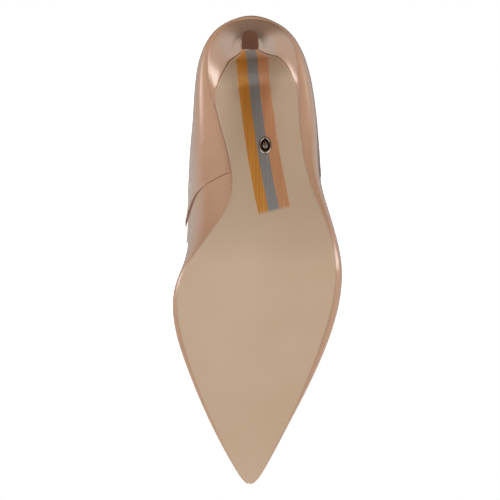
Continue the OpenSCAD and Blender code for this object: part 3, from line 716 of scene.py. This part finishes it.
def on_sole(lay, h):
    """3-D points for laid-flat points (length, y), h inside the sole's lower face."""
    c = sole_line(lay[..., 0], h)
    return np.stack([c[..., 0] + lean(lay[..., 0])*lay[..., 1], lay[..., 1], c[..., 1]], -1)


def outsole():
    k = np.concatenate([np.linspace(0, 1, 16)[:-1]**1.7, np.linspace(1, PATTERN_END, 330)])
    e = open_at(PATTERN, k)
    inner_edge = np.stack([e[:, 0], e[:, 1]], -1)
    outer_edge = np.stack([e[:, 0], e[:, 2]], -1)

    def inward(edge, side):
        t = np.gradient(edge, axis=0)
        n = unit(np.stack([-t[:, 1], t[:, 0]], -1)) * side
        n[0] = [-1, 0]
        n[-1] = [0, n[-1, 1]]
        return unit(n)

    n_in, n_out = inward(inner_edge, 1), inward(outer_edge, -1)
    thick = mix(FLAP_T, SOLE_T, np.clip((e[:, 0] - FLAP_END)/TAPER, 0, 1))
    # Edge section from the lower face round to the upper face: inset, and share of the thickness.
    section = [(1.1, 0), (0.7, 0.015), (0.4, 0.07), (0.18, 0.16), (0.05, 0.30), (0, 0.45),
               (0, 0.72), (0.06, 0.86), (0.2, 0.95), (0.45, 1)]
    room = np.minimum(1, (e[:, 1] - e[:, 2]) / 3 + 0.05)

    def edge_points(edge, n):
        return [(edge + n*(inset*room)[:, None], share*thick) for inset, share in section]

    left = edge_points(inner_edge, n_in)
    right = edge_points(outer_edge, n_out)
    across = np.linspace(0, 1, 34)[1:-1]

    def spread(index):
        a, b = left[index], right[index]
        return [(mix(a[0], b[0], w), a[1]) for w in across]

    ring = left[::-1] + spread(0) + right + spread(-1)[::-1]
    lay = np.stack([r[0] for r in ring], 1)
    h = np.stack([r[1] for r in ring], 1)
    grid = on_sole(lay, h)
    count = len(section)
    side = [j for j in range(count - 1) if section[count - 2 - j][0] < 0.06]
    side += [count + len(across) + j for j in range(count - 1) if section[j + 1][0] < 0.06]
    piece = grid_mesh("outsole_sheet", grid, close_v=True, caps=(len(grid) - 1,),
                      lay=lay / LAY_SPAN, second=side)
    return ride(piece, "outsole", (OUTSOLE, SOLE_EDGE), "outsole")


# ---- Heel --------------------------------------------------------------------------------
TIP_Z = LIFT_H + 0.1
SEAT_L = 47.7
SEAT_U = (3.7, 3.4)
SEAT_GAP = 0.12
BACK_CURVE = 2.3
SEAT_BLEND = 5
SEAT_LEAN = 0.6


def heel_surface(w, t):
    """The heel's skin: w runs up from the tip to the seat, t round it from inner to outer front edge."""
    w, t = np.broadcast_arrays(w, t)
    length = mix(END_L, SEAT_L, w)
    front = sole_line(length, FLAP_T + 0.12)
    ks = np.linspace(0, PATTERN_END, 3000)
    e = open_at(PATTERN, ks)
    y_in = np.interp(-length, -e[:, 0], e[:, 1])
    y_out = np.interp(-length, -e[:, 0], e[:, 2])
    back = np.stack([mix(TIP_BACK_X, 2.5, w**BACK_CURVE),
                     mix(TIP_Z, float(sole_z(2.5)) + SOLE_T, w)], -1)
    a = np.abs(t) * math.pi/2
    reach = 1 - np.cos(a)**1.15
    spread = np.sin(a)**0.85 + 0.16*np.sin(2*a)
    y = np.where(t < 0, y_in, y_out) * spread
    x = mix(back[..., 0], front[..., 0], reach) + lean(length)*y
    z = mix(back[..., 1], front[..., 1], reach)
    seat = above_sole(loop_at(PLAN, np.where(t < 0, -t*SEAT_U[0], LOOPS - t*SEAT_U[1])), SOLE_T - SEAT_GAP)
    at_front = np.abs(t)**12
    front_x = front[..., 0] + SEAT_LEAN*lean(length)*y
    q = np.stack([mix(seat[..., 0], front_x, at_front), mix(seat[..., 1], y, at_front),
                  mix(seat[..., 2], front[..., 1], at_front)], -1)
    return mix(np.stack([x, y, z], -1), q, (w**SEAT_BLEND)[..., None])


def tucked_edge(skin, w, side):
    """Points that roll round the front edge of the heel's skin and run in under the flap."""
    length = mix(END_L, SEAT_L, w)
    line = sole_line(length, FLAP_T + 0.16)
    edge = heel_surface(w, np.full_like(w, side))
    out = np.sign(edge[:, 1])
    under = []
    for reach in (0.45, 1.0, 1.8, 2.6):
        y = edge[:, 1] - out * np.minimum(reach, 0.6*np.abs(edge[:, 1]))
        under.append(np.stack([line[:, 0] + lean(length)*y, y, line[:, 1]], -1))
    corner = [skin*(1 - f)**2 + edge*2*f*(1 - f) + under[0]*f**2 for f in np.linspace(0, 1, 7)[1:-1]]
    return corner + under


def heel_cover():
    w = np.linspace(0, 1, 120)
    t = np.linspace(-0.985, 0.985, 121)
    skin = heel_surface(w[None, :], t[:, None])
    first = tucked_edge(skin[0], w, -1.0)
    last = tucked_edge(skin[-1], w, 1.0)
    p = np.concatenate([np.stack(first[::-1]), skin, np.stack(last)], 0)
    n = unit(np.cross(np.gradient(p, axis=0), np.gradient(p, axis=1)))
    inner = p - n * 0.45
    inner[..., 2] = np.clip(inner[..., 2], TIP_Z, sole_z(inner[..., 0]) + SOLE_T)
    return ride(shell("heel_cover_wrap", p, inner), "patent_upper", PATENT, "heel_cover")


def top_lift():
    """The walking piece: round at the back, flat at the front, with eased edges."""
    radius = TIP_HALF_W
    centre = TIP_BACK_X + radius
    corner = 0.7
    back = [(centre - radius*math.cos(t), radius*math.sin(t)) for t in np.linspace(-math.pi/2, math.pi/2, 41)]
    front = []
    for side in (1, -1):
        turns = np.linspace(0, math.pi/2, 9) if side > 0 else np.linspace(math.pi/2, 0, 9)
        front += [(BREAST_X - corner + corner*math.sin(t), side*(radius - corner + corner*math.cos(t)))
                  for t in turns]
    outline = np.array(back + front)
    middle = np.array([(TIP_BACK_X + BREAST_X)/2, 0])
    levels = [(0.55, 0.0), (0.25, 0.06), (0.08, 0.2), (0, 0.5), (0, LIFT_H - 0.3), (0.08, LIFT_H - 0.08),
              (0.25, LIFT_H)]
    rings = []
    for inset, z in levels:
        reach = outline - middle
        size = np.linalg.norm(reach, axis=1, keepdims=True)
        flat = middle + reach * (size - inset) / size
        rings.append(np.column_stack([flat, np.full(len(flat), z)]))
    piece = grid_mesh("top_lift_piece", rings, close_v=True, caps=(0, len(rings) - 1))
    return ride(piece, "top_lift", LIFT, "top_lift")


# ---- Inside -----------------------------------------------------------------------------
HEEL_PAD = (0.08, 0.27)
FORE_PAD = (0.6, 0.86)
HEEL_PAD_T = 2.2
FORE_PAD_T = 2.0
PAD_EDGE = 0.15
PAD_FILL = 0.8
PAD_INSET = 7.4
SOCK_INSET = 2.3
LAYER_B = SOLE_T + 0.5 + UPPER_T + LINING_T
LAYER_C = LAYER_B + BOARD_T + 0.1


def across_insole(s, w, inset):
    """Plan points of the insole: s from back to toe, w from inner to outer edge."""
    def edge(u):
        p = loop_at(PLAN, u)
        t = loop_at(PLAN, u + 0.02) - loop_at(PLAN, u - 0.02)
        return p - unit(np.stack([-t[..., 1], t[..., 0]], -1)) * inset
    return mix(edge(TOE_STATION*s), edge(LOOPS - (LOOPS - TOE_STATION)*s), w[..., None])


def bump_between(x, low, high):
    f = np.clip((x - low)/(high - low), 0, 1)
    return np.sin(math.pi * f)**0.6


def pad_rise(s, w):
    across = bump_between(w, 0, 1)
    return (HEEL_PAD_T*bump_between(s, *HEEL_PAD) + FORE_PAD_T*bump_between(s, *FORE_PAD)) * across


def pad(name, span, node):
    """A soft foam pad, crowned in the middle and thin at its edges."""
    s, w = np.meshgrid(np.linspace(*span, 40), np.linspace(0, 1, 24), indexing="ij")
    plan = across_insole(s, w, PAD_INSET)
    low = above_sole(plan, LAYER_C)
    high = above_sole(plan, LAYER_C + PAD_EDGE + PAD_FILL*pad_rise(s, w))
    piece = ride(shell(name, high, low), "foam", FOAM, node)
    return piece


def sock_lining():
    s, w = np.meshgrid(np.linspace(0.012, 0.93, 150), np.linspace(0, 1, 50), indexing="ij")
    plan = across_insole(s, w, SOCK_INSET)
    edge_lift = 0.5 * (np.abs(2*w - 1)**6)
    h = LAYER_C + 0.3 + pad_rise(s, w) + edge_lift
    piece = shell("sock_sheet", above_sole(plan, h + SOCK_T), above_sole(plan, h))
    return ride(piece, "sock", SOCK, "sock_lining")


# ---- Badge ---------------------------------------------------------------------------------
BADGE_AT = (69.5, -7.3)
BADGE_L, BADGE_W = 8.6, 6.0


def badge():
    """A plain oval plate: a bright rim round a darker dished face with a small bright boss."""
    turns = np.linspace(0, 2*math.pi, 72, endpoint=False)
    steps = [(1.0, 0.15), (1.0, 0.45), (0.96, 0.62), (0.88, 0.70), (0.80, 0.66), (0.76, 0.52), (0.72, 0.40),
             (0.62, 0.36), (0.46, 0.36), (0.40, 0.42), (0.34, 0.62), (0.24, 0.76), (0.12, 0.82), (0.02, 0.84)]
    rings = []
    for share, drop in steps:
        x = BADGE_AT[0] + BADGE_L/2*share*np.cos(turns)
        y = BADGE_AT[1] + BADGE_W/2*share*np.sin(turns)
        rings.append(above_sole(np.stack([x, y], -1), -drop))
    rings = np.stack(rings, 1)
    dark = [j for j, (share, _) in enumerate(steps[:-1]) if 0.4 < share < 0.78]
    piece = grid_mesh("oval_badge", rings, close_u=True, second=dark)
    middle = bmesh.new()
    middle.from_mesh(piece.data)
    bmesh.ops.holes_fill(middle, edges=middle.edges)
    middle.to_mesh(piece.data)
    middle.free()
    return ride(piece, "badge", (BADGE, BADGE_DARK), "badge")


# ---- Hidden pieces keep their CAD shape and get their own stuff ---------------------------
CAD_STUFF = {
    "heel_counter": FIBRE, "toe_puff": FIBRE, "topline_tape": TAPE, "insole_board": BOARD,
    "shank_board": BOARD, "steel_shank": STEEL, "shank_rivets": FIXING, "bottom_filler": CORK,
    "heel_core": PLASTIC, "heel_tube": FIXING, "top_lift_pin": FIXING, "heel_screw": FIXING,
    "heel_nails": FIXING,
}


def dress_cad():
    for name, material in CAD_STUFF.items():
        piece = frame["nodes"][name]
        piece.data.materials.clear()
        piece.data.materials.append(material)


# ---- Stage ------------------------------------------------------------------------------------
def floor():
    """A pale floor that shows only from above, so the shoe can be seen from below."""
    mesh = bpy.data.meshes.new("floor")
    half = 3.0
    drop = -0.0006
    mesh.from_pydata([(-half, -half, drop), (half, -half, drop), (half, half, drop), (-half, half, drop)],
                     [], [[0, 1, 2, 3]])
    piece = bpy.data.objects.new("floor", mesh)
    bpy.context.scene.collection.objects.link(piece)
    m = Nodes("floor_paper", roughness=0.7)
    tint = m.blend(m.noise(m.place(), 3.0), srgb(238, 236, 233), srgb(232, 230, 227))
    material = m.finish(tint)
    tree = material.node_tree
    output = tree.nodes["Material Output"]
    clear = tree.nodes.new("ShaderNodeBsdfTransparent")
    choose = tree.nodes.new("ShaderNodeMixShader")
    tree.links.new(m.node("ShaderNodeNewGeometry", out=6), choose.inputs[0])
    tree.links.new(m.shader.outputs[0], choose.inputs[1])
    tree.links.new(clear.outputs[0], choose.inputs[2])
    tree.links.new(choose.outputs[0], output.inputs["Surface"])
    mesh.materials.append(material)
    piece.visible_shadow = False
    piece.visible_glossy = False
    piece.visible_diffuse = False


SIDE_GLOW = 0.85     # strength of the light from both sides
UNDER_GLOW = 0.36    # least strength of the light from below
DARK_GLOW = 0.06     # everywhere else
LOW_GLOSS = 6.0      # in reflections the light is this many times as strong, low behind the heel
HIGH_GLOSS = 0.6     # and this many times elsewhere


def world():
    """White to the eye. As light: bright at both sides, dim behind the heel and straight above."""
    scene_world = bpy.data.worlds.new("studio")
    bpy.context.scene.world = scene_world
    scene_world.use_nodes = True
    tree = scene_world.node_tree
    link = tree.links.new
    background = tree.nodes["Background"]
    background.inputs["Color"].default_value = (1.0, 0.97, 0.94, 1)

    def smooth_range(value, low, high, to_low=0.0, to_high=1.0):
        n = tree.nodes.new("ShaderNodeMapRange")
        n.interpolation_type = "SMOOTHSTEP"
        link(value, n.inputs["Value"])
        for key, number in (("From Min", low), ("From Max", high), ("To Min", to_low), ("To Max", to_high)):
            n.inputs[key].default_value = number
        return n.outputs[0]

    def join(operation, x, y=None, z=None):
        n = tree.nodes.new("ShaderNodeMath")
        n.operation = operation
        link(x, n.inputs[0])
        if y is not None:
            link(y, n.inputs[1])
        if z is not None:
            n.inputs[2].default_value = z
        return n.outputs[0]

    axes = tree.nodes.new("ShaderNodeSeparateXYZ")
    link(tree.nodes.new("ShaderNodeTexCoord").outputs["Generated"], axes.inputs[0])
    sideways = smooth_range(join("ABSOLUTE", axes.outputs[1]), 0.08, 0.55)
    ahead = smooth_range(axes.outputs[0], -0.85, -0.35)
    glow = smooth_range(join("MULTIPLY", sideways, ahead), 0.0, 1.0, DARK_GLOW, SIDE_GLOW)
    below = smooth_range(axes.outputs[2], 0.1, -0.2, 0.0, UNDER_GLOW)
    low = smooth_range(axes.outputs[2], 0.4, -0.1)
    back = smooth_range(axes.outputs[0], 0.0, -0.3)
    gloss = smooth_range(join("MULTIPLY", low, back), 0.0, 1.0, HIGH_GLOSS - 1, LOW_GLOSS - 1)
    path = tree.nodes.new("ShaderNodeLightPath")
    boost = join("MULTIPLY_ADD", gloss, path.outputs["Is Glossy Ray"], 1.0)
    link(join("MAXIMUM", join("MULTIPLY", glow, boost), below), background.inputs["Strength"])
    white = tree.nodes.new("ShaderNodeBackground")
    white.inputs["Color"].default_value = (1, 1, 1, 1)
    white.inputs["Strength"].default_value = 1.0
    choose = tree.nodes.new("ShaderNodeMixShader")
    link(path.outputs["Is Camera Ray"], choose.inputs[0])
    link(background.outputs[0], choose.inputs[1])
    link(white.outputs[0], choose.inputs[2])
    link(choose.outputs[0], tree.nodes["World Output"].inputs["Surface"])


def aim(obj, place, target):
    obj.location = Vector(place)
    direction = Vector(target) - Vector(place)
    obj.rotation_euler = direction.to_track_quat("-Z", "Y").to_euler()


def softbox(name, place, target, size, watts):
    light = bpy.data.lights.new(name, "AREA")
    light.shape = "RECTANGLE"
    light.size, light.size_y = size
    light.energy = watts
    piece = bpy.data.objects.new(name, light)
    bpy.context.scene.collection.objects.link(piece)
    aim(piece, place, target)
    piece.visible_camera = False
    return piece


CAMERA_DISTANCE = 1.0      # metres below the floor
CAMERA_FIELD = 0.2294      # width seen at the floor, in metres
CAMERA_X = 119.6           # middle of the picture, in millimetres from the back of the heel


def camera():
    """Straight up at the sole, toe at the foot of the picture."""
    data = bpy.data.cameras.new("camera")
    data.sensor_width = 36.0
    data.lens = data.sensor_width * CAMERA_DISTANCE / CAMERA_FIELD
    data.clip_start = 0.05
    data.clip_end = 20
    piece = bpy.data.objects.new("camera", data)
    bpy.context.scene.collection.objects.link(piece)
    centre = to_metres([CAMERA_X, 0, 0])
    turn = Matrix(((0, -1, 0), (-1, 0, 0), (0, 0, -1)))
    piece.matrix_world = Matrix.Translation((centre[0], centre[1], -CAMERA_DISTANCE)) @ turn.to_4x4()
    bpy.context.scene.camera = piece


upper()
lining("vamp_lining", 7, 19)
lining("quarter_lining", 19, LOOPS + 7)
topline_stitching()
seam_stitching()
outsole()
heel_cover()
top_lift()
pad("heel_cushion", HEEL_PAD, "heel_pad")
pad("forefoot_cushion", FORE_PAD, "forefoot_pad")
sock_lining()
badge()
dress_cad()
floor()
world()
middle = (0.0, 0.0, 0.04)
softbox("under", (-0.05, 0.0, -1.35), middle, (1.8, 1.8), 4.5)
softbox("toe_side", (1.15, 0.0, -0.42), middle, (0.35, 0.5), 7)
softbox("heel_side", (-1.0, 0.0, -0.6), middle, (0.5, 0.7), 5).visible_glossy = False
softbox("top", (0.1, 0.1, 1.3), middle, (0.8, 0.8), 5)
softbox("front", (1.3, 0.0, 0.9), middle, (0.5, 0.9), 6)
camera()
bpy.context.scene.view_settings.view_transform = "Standard"
